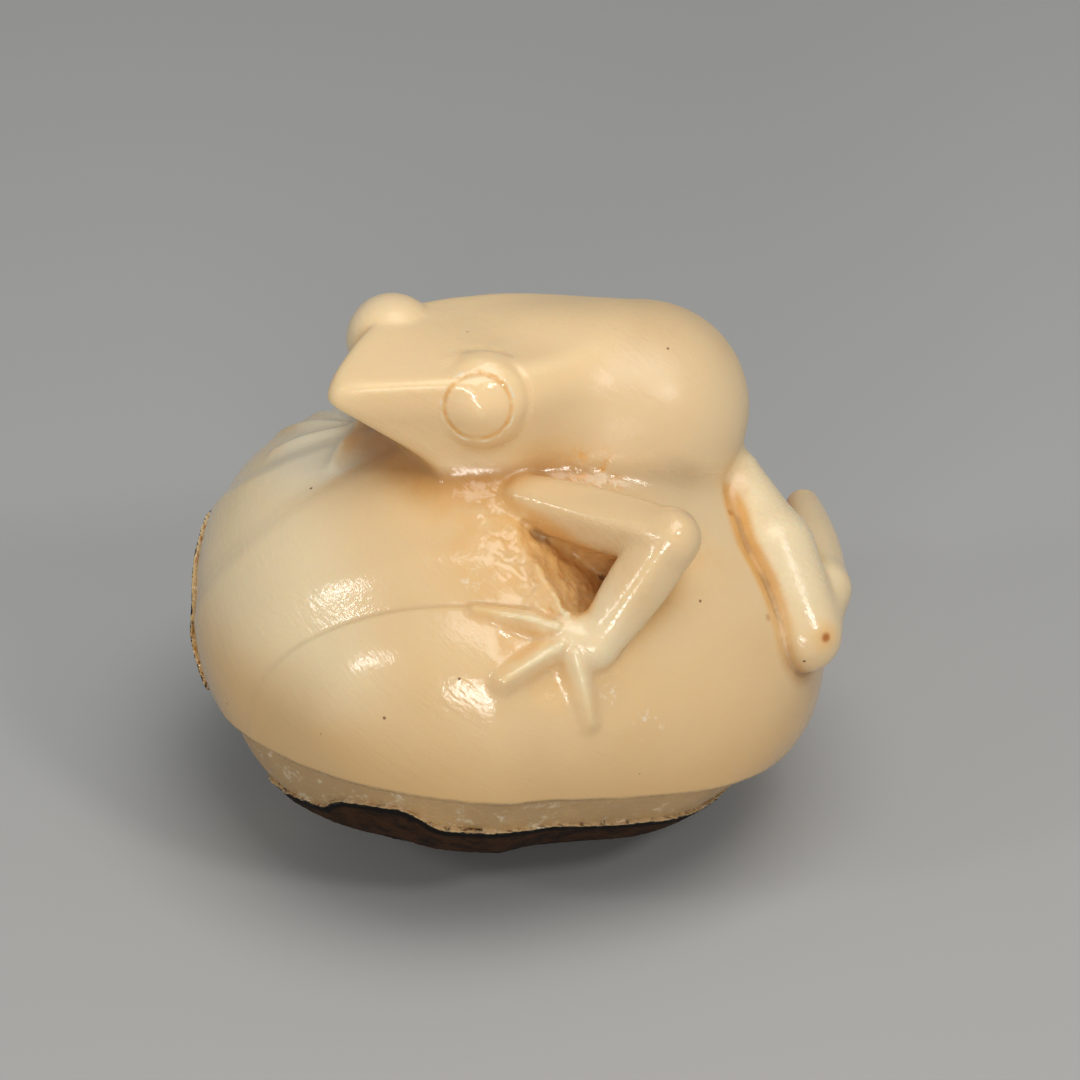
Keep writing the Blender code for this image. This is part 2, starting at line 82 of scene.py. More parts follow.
# head, in its own axes: X to the snout, Y to the frog's left, Z up
HEAD = (-5.31, -3.0, 39.62)
HEAD_YAW = 213.0
SKULL = ((-3.5, 0.0, -3.0), (12.6, 7.2, 8.2))
BROW_PLANE = ((0.13, 0.11, 1.0), (2.0, 0.0, 1.65))
NAPE_PLANE = ((-0.16, 0.0, 1.0), (0.0, 0.0, 2.0))
CHEEK_NEAR = ((0.53, 0.83, -0.10), (4.0, 3.1, -1.0))
CHEEK_FAR = ((0.53, -0.83, 0.10), (4.0, -3.6, 1.0))
JAW_PLANE = ((0.62, 0.0, -0.78), (4.2, 0.0, -4.15))
EYE_FAR_RADIUS = 3.3
EYE_RADIUS = 3.5
EYE_FLAT = 2.3                     # half depth of the near eyeball
EYE_NEAR = (-1.56, -5.85, 38.37)
EYE_NEAR_TURN = 68.0               # degrees about X: the near eye looks out and up
EYE_FAR = (0.0, -5.4, -0.5)

# left arm and hand
SHOULDER = (1.69, -8.6, 31.52)
ELBOW = (11.82, -14.7, 31.91)
WRIST = (6.92, -17.8, 25.34)
SHOULDER_RADIUS = 1.9
WRIST_RADIUS = 1.65
ARM_SWELL = 0.3
ARM_RADIUS = 2.1
FOREARM_RADIUS = 2.25
CREST_FACE = (0.0, -0.85, 0.53)    # the side on which the arm has its crest
CREST_SPREAD = 42.0
CREST_DEPTH = 1.85
PALM_RADIUS = 1.6
PALM_SINK = 0.5
HAND_HEEL = (6.2, -18.34, 24.85)
PALM = (4.7, -18.05, 25.85)
FINGERS = (                        # root, tip, half width at the root and tip, height at the root and tip
    ((4.35, -17.25, 26.86), (2.35, -14.35, 29.58), 1.7, 1.3, 1.4, 0.9),
    ((3.78, -17.87, 26.33), (-2.0, -17.17, 27.57), 1.6, 1.0, 1.5, 0.7),
    ((4.06, -18.55, 25.41), (0.0, -20.29, 23.41), 1.6, 1.5, 1.5, 1.2),
    ((4.92, -18.69, 24.91), (6.21, -20.43, 20.06), 1.6, 1.35, 1.5, 0.8),
)
HAND_DIPS = (                      # hollows cut between the fingers: middle, radius, depth
    ((0.93, -18.66, 25.91), 2.3, 0.35),
    ((3.21, -19.98, 23.37), 2.3, 0.3),
    ((1.21, -16.19, 28.38), 1.8, 0.25),
    ((7.79, -19.55, 21.35), 2.6, 0.25),
)
POCKET = (                         # the hollow inside the bent arm: left end, inner elbow, wrist
    (0.18, -10.34, 31.66),
    (9.85, -12.1, 28.67),
    (5.2, -17.29, 26.55),
)
POCKET_LOW = (3.35, -16.88, 27.47)  # with the left end, the line where its floor starts to fall
POCKET_DEPTH = 3.8

# right arm and hand
FAR_SHOULDER = (-1.0, 7.5, 34.0)
FAR_ELBOW = (2.0, 14.8, 31.0)
FAR_WRIST = (-8.16, 4.6, 32.52)
FAR_PALM = (-10.66, 2.1, 31.02)
FAR_FINGERS = (                    # as FINGERS
    ((-10.66, 2.1, 31.02), (-17.02, 8.44, 26.57), 1.5, 1.2, 0.9, 0.4),
    ((-10.66, 2.1, 31.02), (-16.97, 3.51, 27.47), 1.5, 1.3, 0.9, 0.4),
    ((-10.66, 2.1, 31.02), (-12.57, -2.43, 30.6), 1.5, 1.4, 0.9, 0.5),
    ((-10.66, 2.1, 31.02), (-14.98, 10.16, 28.58), 1.4, 1.2, 0.9, 0.4),
)

# hind legs, folded
HIP = (17.3, 0.8, 27.61)
HIP_RADIUS = 2.0
THIGH_MID = (19.78, -4.2, 24.48)
THIGH_RADIUS = 3.15
KNEE_RADIUS = 2.8
SHIN_RADIUS = 2.1
HEEL_RADIUS = 1.4
KNEE = (22.11, -8.2, 19.65)
SHIN_MID = (23.56, -4.0, 20.74)
HEEL = (23.0, 9.0, 20.03)
FAR_HIP = (14.5, 7.5, 29.0)
FAR_KNEE = (12.0, 15.5, 25.5)
FAR_HEEL = (16.5, 15.0, 18.5)
TOES = (                           # root, tip, radius at the root, radius at the tip
    ((21.0, 9.5, 19.5), (18.6, 13.5, 13.5), 1.1, 0.8),
    ((21.0, 9.5, 19.5), (16.5, 15.0, 16.5), 1.1, 0.8),
    ((21.0, 9.5, 19.5), (20.6, 10.5, 12.0), 1.1, 0.8),
    ((14.5, 16.5, 18.5), (8.0, 19.5, 18.0), 1.1, 0.8),
    ((14.5, 16.5, 18.5), (8.5, 19.3, 15.0), 1.1, 0.8),
    ((14.5, 16.5, 18.5), (10.5, 18.6, 12.5), 1.1, 0.8),
)

# finer carving: widths and depths in millimetres
GROOVE_WIDTH = 0.22                # the knife line along each fold
GROOVE_DEPTH = 0.02
IRIS_MIDDLE = (-0.26, -0.30, 0.0)    # from the middle of the eyeball
IRIS_RADIUS = 2.4
IRIS_WIDTH = 0.26
IRIS_DEPTH = 0.12
IRIS_BULGE = 0.35
BROW_RADIUS = 3.35                 # the hollow between the eyeball and its brow
BROW_WIDTH = 0.9
BROW_DEPTH = 0.13
HAND_CUT_SIZE = 4.5                # length of the soft flats left by the knife
HAND_CUT_DEPTH = 0.10
WAVE_SIZE = 1.5                    # small waves left by the scraper
WAVE_DEPTH = 0.028
SCRAPE_SIZE = 0.5                  # scraped ground round the hand and above the arm
SCRAPE_DEPTH = 0.10
ROUGH_SIZE = 0.9                   # grain of the rough hollow inside the bent arm
ROUGH_DEPTH = 0.55
HUSK_RAGGED = 0.7                  # how far the torn edge of the skin strays
HUSK_GRAIN = 0.10
STRIP_GRAIN = 0.06

# mesh
BOX_LOW = (-27.0, -25.0, -1.2)
BOX_HIGH = (30.0, 25.0, 45.0)
PITCH = 0.24                       # spacing of the samples the surface is first drawn from
FACES = 192000
FLAT_BAND = 0.05


TREE = None
POS = None
RULES = {}
DRAFT = False


class Num:
    """A number that the surface rule works out at each point of space."""

    def __init__(self, out):
        self.out = out

    def __add__(self, other):
        return calc("ADD", self, other)

    __radd__ = __add__

    def __sub__(self, other):
        return calc("SUBTRACT", self, other)

    def __rsub__(self, other):
        return calc("SUBTRACT", other, self)

    def __mul__(self, other):
        return calc("MULTIPLY", self, other)

    __rmul__ = __mul__

    def __truediv__(self, other):
        return calc("DIVIDE", self, other)

    def __rtruediv__(self, other):
        return calc("DIVIDE", other, self)

    def __neg__(self):
        return calc("MULTIPLY", self, -1.0)


class Vec:
    """A vector that the surface rule works out at each point of space."""

    def __init__(self, node):
        self.node = node
        self.out = node.outputs[0]

    def __add__(self, other):
        return vcalc("ADD", self, other)

    def __sub__(self, other):
        return vcalc("SUBTRACT", self, other)

    def __mul__(self, other):
        return vcalc("MULTIPLY", self, other)

    def __truediv__(self, other):
        return vcalc("DIVIDE", self, other)

    def length(self):
        return Num(vcalc("LENGTH", self).node.outputs["Value"])

    def dot(self, other):
        return Num(vcalc("DOT_PRODUCT", self, other).node.outputs["Value"])


def plug(value, socket):
    if isinstance(value, (Num, Vec)):
        TREE.links.new(value.out, socket)
    else:
        socket.default_value = value


def calc(op, *args):
    node = TREE.nodes.new("ShaderNodeMath")
    node.operation = op
    for i, a in enumerate(args):
        plug(a, node.inputs[i])
    return Num(node.outputs[0])


def vcalc(op, *args):
    node = TREE.nodes.new("ShaderNodeVectorMath")
    node.operation = op
    for i, a in enumerate(args):
        plug(a, node.inputs[i])
    return Vec(node)


def rule(make):
    """Makes a function that works out a number from POS a group of its own, which is built once and can be used again."""

    def use():
        global TREE, POS
        if TREE.bl_idname != "GeometryNodeTree":
            return make()
        tree, pos = TREE, POS
        key = (make.__name__, DRAFT)
        if key not in RULES:
            TREE = RULES[key] = bpy.data.node_groups.new(make.__name__, "GeometryNodeTree")
            TREE.interface.new_socket("Place", in_out="INPUT", socket_type="NodeSocketVector")
            TREE.interface.new_socket("Value", in_out="OUTPUT", socket_type="NodeSocketFloat")
            POS = Vec(TREE.nodes.new("NodeGroupInput"))
            TREE.links.new(make().out, TREE.nodes.new("NodeGroupOutput").inputs[0])
            TREE, POS = tree, pos
        node = TREE.nodes.new("GeometryNodeGroup")
        node.node_tree = RULES[key]
        plug(POS, node.inputs[0])
        return Num(node.outputs[0])

    return use


def scaled(v, factor):
    node = TREE.nodes.new("ShaderNodeVectorMath")
    node.operation = "SCALE"
    plug(v, node.inputs[0])
    plug(factor, node.inputs["Scale"])
    return Vec(node)


def parts_of(v):
    node = TREE.nodes.new("ShaderNodeSeparateXYZ")
    plug(v, node.inputs[0])
    return [Num(o) for o in node.outputs]


def vec(x, y, z):
    node = TREE.nodes.new("ShaderNodeCombineXYZ")
    for i, a in enumerate((x, y, z)):
        plug(a, node.inputs[i])
    return Vec(node)


def local(p, centre, turn=(0.0, 0.0, 0.0)):
    """p in axes that sit at centre and are turned by the angles in degrees."""
    if any(turn):
        node = TREE.nodes.new("ShaderNodeVectorRotate")
        node.rotation_type = "EULER_XYZ"
        node.invert = True
        plug(p, node.inputs["Vector"])
        node.inputs["Center"].default_value = centre
        node.inputs["Rotation"].default_value = [math.radians(a) for a in turn]
        p = Vec(node)
    return p - tuple(centre)


def low(a, b):
    return calc("MINIMUM", a, b)


def high(a, b):
    return calc("MAXIMUM", a, b)


def join(a, b, k):
    """Both shapes together, with a fillet of about k."""
    return calc("SMOOTH_MIN", a, b, k)


def both(a, b, k):
    """Where the two shapes overlap, with the edge rounded by about k."""
    return calc("SMOOTH_MAX", a, b, k)


def cut(a, b, k):
    return both(a, -b, k)


def root(a):
    return calc("SQRT", a)


def ramp(value, start, end):
    """Rises smoothly from 0 at start to 1 at end."""
    node = TREE.nodes.new("ShaderNodeMapRange")
    node.interpolation_type = "SMOOTHSTEP"
    plug(value, node.inputs["Value"])
    node.inputs["From Min"].default_value = start
    node.inputs["From Max"].default_value = end
    return Num(node.outputs["Result"])


def ellipsoid(centre, radii, turn=(0.0, 0.0, 0.0), p=None):
    q = local(p or POS, centre, turn)
    n = q / tuple(radii)
    k0 = n.length()
    k1 = (n / tuple(radii)).length()
    return k0 * (k0 - 1.0) / (k1 + 1e-6)


def along(p, a, b):
    """The share of the way from a to b that is nearest to p, and the offset of p from there."""
    a, b = Vector(a), Vector(b)
    pa = p - tuple(a)
    ba = b - a
    t = calc("MINIMUM", calc("MAXIMUM", pa.dot(tuple(ba / ba.length_squared)), 0.0), 1.0)
    return t, pa - scaled(tuple(ba), t)


def taper(a, b, ra, rb, swell=0.0, p=None):
    """A limb from a to b with round ends, thicker by swell half way."""
    t, off = along(p or POS, a, b)
    return off.length() - (t * (rb - ra) + ra + t * (1.0 - t) * (4.0 * swell))


def half(normal, point, p=None):
    """The side of a plane that its normal points away from."""
    n = Vector(normal).normalized()
    return (p or POS).dot(tuple(n)) - n.dot(Vector(point))


def side(points):
    """The distance above the plane through three points."""
    a, b, c = [Vector(v) for v in points]
    n = (b - a).cross(c - a).normalized()
    if n.z < 0:
        n = -n
    return half(n, a)


def nut_normal(point):
    n = Vector(point) - Vector(NUT_MAIN[0])
    return Vector([n[i] / NUT_MAIN[1][i] ** 2 for i in range(3)]).normalized()


def on_surface(base, a, b, ra, rb, lift):
    """A ridge that lies on the surface base from a to b."""
    middle = (Vector(a) + Vector(b)) / 2
    n = nut_normal(middle)
    flat = POS - scaled(tuple(n), POS.dot(tuple(n)))
    a = Vector(a) - n * n.dot(Vector(a))
    b = Vector(b) - n * n.dot(Vector(b))
    t, off = along(flat, a, b)
    d = off.length()
    e = base - lift
    ridge = root(d * d + e * e) - (t * (rb - ra) + ra)
    return high(ridge, half(-n, middle - n * 5))


def crested(a, b, ra, rb):
    """A limb whose outer side rises to a soft crest."""
    a, b = Vector(a), Vector(b)
    d = (b - a).normalized()
    face = Vector(CREST_FACE)
    face = (face - d * face.dot(d)).normalized()
    across = d.cross(face)
    shape = taper(a, b, ra, rb, ARM_SWELL)
    for way in (1, -1):
        n = face * math.cos(math.radians(CREST_SPREAD)) + across * (math.sin(math.radians(CREST_SPREAD)) * way)
        shape = both(shape, half(n, (a + b) / 2 + n * CREST_DEPTH), 1.2)
    return shape


def noise(size, detail=2.0, rough=0.5, p=None):
    """Cloudy variation around 0, with lumps of about the given size. The first rough draft of the shape goes without."""
    if DRAFT:
        return 0.0
    node = TREE.nodes.new("ShaderNodeTexNoise")
    plug(p or POS, node.inputs["Vector"])
    node.inputs["Scale"].default_value = 0.5 / size
    node.inputs["Detail"].default_value = detail
    node.inputs["Roughness"].default_value = rough
    return (Num(node.outputs[0]) - 0.5) * 2.0


def eye_relief(e):
    """The ring cut round the bulging iris, and the hollow under the brow, in the eye's own axes: Z along its gaze."""
    facing = ramp(parts_of(e)[2], 0.2, 0.8)
    ix, iy, iz = parts_of(e - IRIS_MIDDLE)
    r = root(ix * ix + iy * iy)
    ring = line_at(r - IRIS_RADIUS, IRIS_WIDTH) * IRIS_DEPTH - ramp(r, IRIS_RADIUS, 0.0) * IRIS_BULGE
    bx, by, bz = parts_of(e)
    brow = line_at(root(bx * bx + by * by) - BROW_RADIUS, BROW_WIDTH) * ramp(bx * 0.6 + by * 0.8, -0.5, 1.6) * ramp(bz, -2.0, -1.0)
    return facing * ring + brow * BROW_DEPTH




def size_of(a):
    return calc("ABSOLUTE", a)


def line_at(distance, width):
    """1 on the line where distance is 0, falling to 0 at half the width from it."""
    return ramp(size_of(distance), width / 2, 0.0)


def near_point(point, start, end):
    """Rises from 0 at the distance start from a point to 1 at the distance end."""
    return ramp((POS - tuple(point)).length(), start, end)


@rule
def husk_side():
    """Above 0 where the nut still has its skin."""
    below = -side(HUSK_EDGE) + near_point(HUSK_PATCH, 5.5, 2.0) * HUSK_PATCH_RISE
    below = high(below, high(half(*HUSK_LEFT), half(*HUSK_REAR)))
    below = below + noise(3.5, 5.0, 0.62) * HUSK_RAGGED
    below = below - near_point((-17.0, -5.5, 5.0), 4.5, 2.5) * 3.0
    return below


@rule
def nut_field():
    x, y, z = parts_of(POS)
    leaning = vec(x, y + (z - 16.0) * NUT_LEAN, z)
    nut = join(ellipsoid(*NUT_MAIN, p=leaning), ellipsoid(*NUT_REAR, p=leaning), NUT_BLEND)
    nut = join(nut, ellipsoid(*NUT_FRONT, p=leaning), NUT_BLEND)
    nut = both(nut, half(*REAR_FACET), 2.5)
    nut = nut - near_point(LOW_LEFT, 10.0, 0.0) * LOW_LEFT_SWELL
    chin, hand, front, rim = side(FOLD_CHIN), side(FOLD_HAND), side(FOLD_FRONT), side(RIM_EDGE)
    left_of = ramp(-x, -4.0, 1.0)
    nut = nut - ramp(chin, 1.2, -1.2) * FOLD_CHIN_STEP
    nut = nut + line_at(chin, GROOVE_WIDTH * 2) * GROOVE_DEPTH
    nut = nut + ramp(hand, -0.6, 0.6) * FOLD_HAND_FALL
    swell = ramp(-front, -0.3, FRONT_RISE) - ramp(-front, 7.0, 15.0)
    valley = ramp(front, 3.2, 0.0) * ramp(front, -0.6, 0.2)
    fading = left_of * (ramp(x, -19.5, -11.0) * 0.85 + 0.15)
    nut = nut + fading * (valley * FRONT_VALLEY - swell * FOLD_FRONT_SWELL)
    lower = nut + RIM_STEP
    lower = lower + noise(0.8, 4.0, 0.6) * STRIP_GRAIN
    nut = join(lower, both(nut, -rim, 0.15), 0.1)
    skin = nut - HUSK_THICKNESS
    skin = skin - noise(0.45, 3.0, 0.6) * HUSK_GRAIN
    return low(nut, both(skin, -husk_side(), 0.08))


@rule
def head_field():
    h = local(POS, HEAD, (0.0, 0.0, HEAD_YAW))
    top = both(half(*BROW_PLANE, p=h), half(*NAPE_PLANE, p=h), 1.5)
    cheeks = both(half(*CHEEK_NEAR, p=h), half(*CHEEK_FAR, p=h), 1.5)
    wedge = both(cheeks, both(top, half(*JAW_PLANE, p=h), 0.8), 1.2)
    return both(wedge, ellipsoid(*SKULL, p=h), 1.5)


@rule
def near_eye_field():
    return ellipsoid(EYE_NEAR, (EYE_RADIUS, EYE_RADIUS, EYE_FLAT), (EYE_NEAR_TURN, 0.0, 0.0))


@rule
def far_eye_field():
    return ellipsoid(EYE_FAR, (EYE_FAR_RADIUS,) * 3, p=local(POS, HEAD, (0.0, 0.0, HEAD_YAW)))


@rule
def trunk_field():
    return join(ellipsoid(*RUMP), ellipsoid(*CHEST), TRUNK_BLEND)


@rule
def pocket_field():
    """The hollow inside the bent arm: its floor falls from the left, and the arm overhangs its other two sides."""
    a, b, c = [Vector(v) for v in POCKET]
    n = (b - a).cross(c - a).normalized()
    if n.y > 0:
        n = -n
    centre = (a + b + c) / 3
    deep = (b + centre) / 2 - n * POCKET_DEPTH
    floor = (deep - a).cross(Vector(POCKET_LOW) - a).normalized()
    if floor.y > 0:
        floor = -floor
    pocket = half(-floor, a)
    for p0, p1 in ((a, b), (b, c)):
        m = (p1 - p0).cross(n).normalized()
        if m.dot(centre - p0) > 0:
            m = -m
        pocket = both(pocket, half(m, p0), 1.0)
    return pocket


def ridge(a, b, wide_a, wide_b, high_a, high_b):
    """The height of a low ridge on the nut from a to b, with hollow flanks."""
    middle = (Vector(a) + Vector(b)) / 2
    n = nut_normal(middle)
    flat = POS - scaled(tuple(n), POS.dot(tuple(n)))
    a = Vector(a) - n * n.dot(Vector(a))
    b = Vector(b) - n * n.dot(Vector(b))
    t, off = along(flat, a, b)
    inside = high(1.0 - root(off.dot(off) + 0.04) / (t * (wide_b - wide_a) + wide_a), 0.0)
    height = calc("POWER", inside, 1.35) * (t * (high_b - high_a) + high_a)
    return height * ramp(half(n, middle - n * 6), 0.0, 0.5)


@rule
def arm_field():
    upper = crested(SHOULDER, ELBOW, SHOULDER_RADIUS, ARM_RADIUS)
    return join(upper, crested(ELBOW, WRIST, FOREARM_RADIUS, WRIST_RADIUS), 0.8)


@rule
def leg_field():
    shin = join(taper(KNEE, SHIN_MID, KNEE_RADIUS, SHIN_RADIUS), taper(SHIN_MID, HEEL, SHIN_RADIUS, HEEL_RADIUS, 0.4), 1.5)
    thigh = join(taper(HIP, THIGH_MID, HIP_RADIUS, THIGH_RADIUS), taper(THIGH_MID, KNEE, THIGH_RADIUS, KNEE_RADIUS, 0.15), 1.0)
    return join(thigh, shin, 0.7)


@rule
def far_leg_field():
    return join(taper(FAR_HIP, FAR_KNEE, 2.2, 1.8, 0.9), taper(FAR_KNEE, FAR_HEEL, 1.7, 1.4, 0.6), 0.3)


@rule
def fingers_height():
    fingers = None
    for finger in FINGERS + FAR_FINGERS:
        height = ridge(*finger)
        fingers = height if fingers is None else both(fingers, height, 0.25)
    return fingers


@rule
def dips_depth():
    depth = None
    for point, radius, deep in HAND_DIPS:
        one = near_point(point, radius, 0.0) * deep
        depth = one if depth is None else depth + one
    return depth


@rule
def near_arm_field():
    hand = on_surface(nut_field(), HAND_HEEL, PALM, WRIST_RADIUS, PALM_RADIUS, -PALM_SINK)
    return join(arm_field(), hand, 2.0)


@rule
def far_arm_field():
    far_arm = join(taper(FAR_SHOULDER, FAR_ELBOW, 2.2, 2.1), taper(FAR_ELBOW, FAR_WRIST, 2.1, 1.6), 0.6)
    nut = nut_field()
    far_hand = on_surface(nut, FAR_WRIST, FAR_PALM, 1.7, 1.3, -0.5)
    return join(far_arm, far_hand, 0.6)


@rule
def toes_field():
    nut = nut_field()
    toes = None
    for start, tip, ra, rb in TOES:
        toe = on_surface(nut, start, tip, ra, rb, 0.1)
        toes = toe if toes is None else join(toes, toe, 0.5)
    return toes


@rule
def carving_field():
    z = parts_of(POS)[2]
    legs = low(leg_field(), far_leg_field())
    nut = nut_field()
    head = join(join(head_field(), near_eye_field(), 0.6), far_eye_field(), 0.4)
    head = head + eye_relief(local(POS, EYE_NEAR, (EYE_NEAR_TURN, 0.0, 0.0)))
    frog = join(trunk_field(), head, 3.0)
    pocket = pocket_field()
    body = cut(join(nut, frog, TRUNK_TO_NUT), pocket, 2.0)
    body = body + ramp(pocket, 2.4, 0.2) * noise(ROUGH_SIZE, 4.0, 0.65) * ROUGH_DEPTH
    body = body + dips_depth() - fingers_height()
    body = join(body, near_arm_field(), 0.6)
    body = join(body, far_arm_field(), 0.4)
    body = join(body, legs, near_point(HIP, 6.0, 2.0) * 1.6 + 0.3)
    body = join(body, toes_field(), 0.3)
    body = body + noise(HAND_CUT_SIZE, 1.0, 0.4) * HAND_CUT_DEPTH + noise(WAVE_SIZE, 1.0, 0.4) * WAVE_DEPTH
    body = body + high(near_point(PALM, 8.0, 5.0) * 0.5, near_point((6.0, -6.2, 31.9), 3.2, 1.2)) * noise(SCRAPE_SIZE, 2.0, 0.6) * SCRAPE_DEPTH
    return high(body, -z)


def new_tree(name):
    global TREE, POS
    TREE = bpy.data.node_groups.new(name, "GeometryNodeTree")
    TREE.interface.new_socket("Geometry", in_out="INPUT", socket_type="NodeSocketGeometry")
    TREE.interface.new_socket("Geometry", in_out="OUTPUT", socket_type="NodeSocketGeometry")
    POS = Vec(TREE.nodes.new("GeometryNodeInputPosition"))
    return TREE


def end_tree(geometry):
    TREE.links.new(geometry, TREE.nodes.new("NodeGroupOutput").inputs[0])


def moved(geometry, offset):
    node = TREE.nodes.new("GeometryNodeSetPosition")
    TREE.links.new(geometry, node.inputs["Geometry"])
    plug(offset, node.inputs["Offset"])
    return node.outputs[0]


def settled(geometry, field, times):
    """Brings each vertex onto the surface."""
    for _ in range(times):
        normal = Vec(TREE.nodes.new("GeometryNodeInputNormal"))
        geometry = moved(geometry, scaled(normal, low(high(field * -0.9, -0.25), 0.25)))
    return geometry


def drawn_tree():
    global DRAFT
    tree = new_tree("drawn")
    DRAFT = True
    field = carving_field()
    DRAFT = False
    cube = tree.nodes.new("GeometryNodeVolumeCube")
    plug(-field, cube.inputs["Density"])
    cube.inputs["Background"].default_value = -5.0
    cube.inputs["Min"].default_value = BOX_LOW
    cube.inputs["Max"].default_value = BOX_HIGH
    for axis, a, b in zip("XYZ", BOX_LOW, BOX_HIGH):
        cube.inputs["Resolution " + axis].default_value = round((b - a) / PITCH) + 1
    skin = tree.nodes.new("GeometryNodeVolumeToMesh")
    skin.resolution_mode = "GRID"
    tree.links.new(cube.outputs[0], skin.inputs["Volume"])
    skin.inputs["Threshold"].default_value = 0.0
    skin.inputs["Adaptivity"].default_value = 0.0
    end_tree(settled(skin.outputs[0], carving_field(), 4))
    return tree


def noted(geometry, name, value):
    node = TREE.nodes.new("GeometryNodeStoreNamedAttribute")
    node.data_type = "FLOAT"
    node.domain = "POINT"
    TREE.links.new(geometry, node.inputs["Geometry"])
    node.inputs["Name"].default_value = name
    plug(value, node.inputs["Value"])
    return node.outputs[0]


def finished_tree():
    """Settles the reduced mesh, notes where its parts and sheltered places are, and turns millimetres into metres."""
    global POS
    tree = new_tree("finished")
    field = carving_field()
    skin = settled(tree.nodes.new("NodeGroupInput").outputs[0], field, 1)
    here = POS
    nut = nut_field()
    skin = noted(skin, "off_nut", nut)
    skin = noted(skin, "off_pocket", pocket_field())
    skin = noted(skin, "off_leg", low(leg_field(), far_leg_field()))
    skin = noted(skin, "off_arm", arm_field())
    skin = noted(skin, "off_head", head_field())
    skin = noted(skin, "skin_side", husk_side())
    skin = noted(skin, "miss", field)
    for name, reach in (("shelter_small", 0.7), ("shelter_large", 3.0)):
        normal = Vec(TREE.nodes.new("GeometryNodeInputNormal"))
        POS = here + scaled(normal, reach)
        skin = noted(skin, name, 1.0 - carving_field() / reach)
        POS = here
    x, y, z = parts_of(POS)
    near = calc("LESS_THAN", z, FLAT_BAND)
    skin = moved(skin, vec(0.0, 0.0, near * z * -1.0))
    skin = moved(skin, tuple(-c for c in FLAT_CENTRE))
    scale = tree.nodes.new("GeometryNodeTransform")
    tree.links.new(skin, scale.inputs["Geometry"])
    scale.inputs["Scale"].default_value = (0.001, 0.001, 0.001)
    end_tree(scale.outputs[0])
    return tree


def evaluated(obj):
    return bpy.data.meshes.new_from_object(obj.evaluated_get(bpy.context.evaluated_depsgraph_get()))


def with_modifier(obj, kind):
    bpy.context.scene.collection.objects.link(obj)
    return obj.modifiers.new(kind.lower(), kind)


def carved():
    start = bpy.data.objects.new("start", bpy.data.meshes.new("start"))
    with_modifier(start, "NODES").node_group = drawn_tree()
    dense = evaluated(start)
    bpy.data.objects.remove(start, do_unlink=True)
    middle = bpy.data.objects.new("middle", dense)
    cut_down = with_modifier(middle, "DECIMATE")
    triangles = sum(len(p.vertices) - 2 for p in dense.polygons)
    cut_down.ratio = min(1.0, FACES / triangles)
    cut_down.use_collapse_triangulate = True
    last = middle.modifiers.new("finish", "NODES")
    last.node_group = finished_tree()
    mesh = evaluated(middle)
    bpy.data.objects.remove(middle, do_unlink=True)
    for group in list(bpy.data.node_groups):
        bpy.data.node_groups.remove(group)
    stray = {i for i, v in enumerate(mesh.attributes["miss"].data) if abs(v.value) > 0.12}
    around = {i: set() for i in stray}
    for edge in mesh.edges:
        a, b = edge.vertices
        if a in stray:
            around[a].add(b)
        if b in stray:
            around[b].add(a)
    for _ in range(12):
        for i in sorted(stray):
            places = [mesh.vertices[j].co for j in sorted(around[i])]
            mesh.vertices[i].co = sum(places, Vector()) / len(places)
    mesh.name = "frog_carving"
    mesh.shade_smooth()
    carving = bpy.data.objects.new("frog_carving", mesh)
    bpy.context.scene.collection.objects.link(carving)
    for spare in [m for m in bpy.data.meshes if not m.users]:
        bpy.data.meshes.remove(spare)
    return carving


# colours, linear
IVORY = (0.76, 0.54, 0.29)
IVORY_PALE = (0.84, 0.69, 0.44)
IVORY_WHITE = (0.82, 0.74, 0.56)
IVORY_WARM = (0.70, 0.42, 0.16)
ORANGE = (0.76, 0.40, 0.10)
STAIN_AND_SHADE = (0.45, 0.20, 0.05)
IVORY_LIT = (0.92, 0.67, 0.37)
DOT = (0.42, 0.13, 0.02)
IVORY_DIRT_AND_SHADE = (0.50, 0.33, 0.14)
STRIP_COLOUR = (0.38, 0.24, 0.11)
BROWN = (0.20, 0.08, 0.025)
FRESH_CUT = (0.84, 0.74, 0.54)
DIRT_AND_SHADOW = (0.16, 0.09, 0.045)
SKIN_BROWN = (0.045, 0.018, 0.006)
SKIN_BLACK = (0.005, 0.003, 0.002)

# places of marks, in millimetres
EYE_FAR_PLACE = Vector(HEAD) + Matrix.Rotation(math.radians(HEAD_YAW), 3, "Z") @ Vector(EYE_FAR)
CRUMBS = (6.0, -6.2, 31.9)
LEG_DOTS = ((23.6, -10.4, 20.7), (16.5, -4.0, 27.3), (19.1, -10.3, 22.3))
CHIPS = ((10.4, -19.0, 19.0), (-1.9, -14.9, 28.6), (7.4, -19.1, 21.9))


def mixed(a, b, share):
    node = TREE.nodes.new("ShaderNodeMix")
    node.data_type = "RGBA"
    plug(share, node.inputs["Factor"])
    for value, socket in ((a, node.inputs[6]), (b, node.inputs[7])):
        if isinstance(value, tuple):
            socket.default_value = (*value, 1.0)
        else:
            TREE.links.new(value.out, socket)
    return Num(node.outputs[2])


def noted_value(name):
    node = TREE.nodes.new("ShaderNodeAttribute")
    node.attribute_name = name
    return Num(node.outputs["Fac"])


def spots(size, reach):
    """Small round spots of the given radius, about one in each cube of the given size."""
    node = TREE.nodes.new("ShaderNodeTexVoronoi")
    plug(POS, node.inputs["Vector"])
    node.inputs["Scale"].default_value = 1.0 / size
    return ramp(Num(node.outputs["Distance"]), reach / size, reach / size * 0.5)


